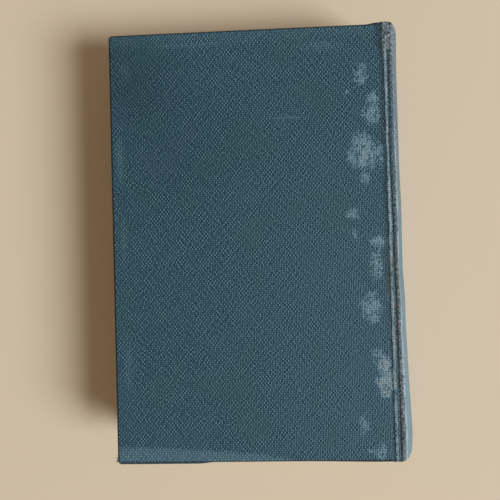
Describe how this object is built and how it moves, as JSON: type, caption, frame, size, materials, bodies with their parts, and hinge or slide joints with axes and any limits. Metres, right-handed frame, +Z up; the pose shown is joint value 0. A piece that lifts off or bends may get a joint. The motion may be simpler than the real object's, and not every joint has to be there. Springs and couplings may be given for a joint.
{
  "type": "hardback book",
  "caption": "Closed cloth-bound hardback book with a rounded spine, sewn leaves, endpapers and two covers that open on their joints.",
  "frame": {"origin": "on the table, under the centre of the book's bounding box", "axes": "+Z up from the front cover to the back cover, +X from the fore-edge to the spine, +Y from the tail to the head"},
  "size_m": [0.1304, 0.19, 0.028],
  "materials": {
    "book_cloth": "coarse plain weave, matt, rubbed and faded at the edges and spine",
    "binders_board": "grey-brown, matt",
    "text_paper": "uncoated, toned at the edges",
    "endpaper": "plain, slightly toned",
    "kraft": "brown, matt",
    "mull": "open gauze, glued",
    "thread": "twisted linen",
    "end_band": "woven, two colours"
  },
  "bodies": {
    "book_block": {"leaves": "text_paper", "sewing_threads": "thread", "spine_mull": "mull", "spine_lining": "kraft", "head_band": "end_band", "tail_band": "end_band", "back_flyleaf": "endpaper", "front_flyleaf": "endpaper", "spine_inlay": "kraft", "spine_cloth": "book_cloth"},
    "back_cover": {"back_board": "binders_board", "back_cloth": "book_cloth", "back_mull_wing": "mull", "back_pastedown": "endpaper"},
    "front_cover": {"front_board": "binders_board", "front_cloth": "book_cloth", "front_mull_wing": "mull", "front_pastedown": "endpaper"}
  },
  "joints": [
    {"name": "back_joint", "type": "hinge", "parent": "book_block", "child": "back_cover", "pos_m": [0.05705, 0, 0.028], "axis": [0, 1, 0], "range_deg": [0, 180]},
    {"name": "front_joint", "type": "hinge", "parent": "book_block", "child": "front_cover", "pos_m": [0.05705, 0, 0], "axis": [0, -1, 0], "range_deg": [0, 180]}
  ]
}
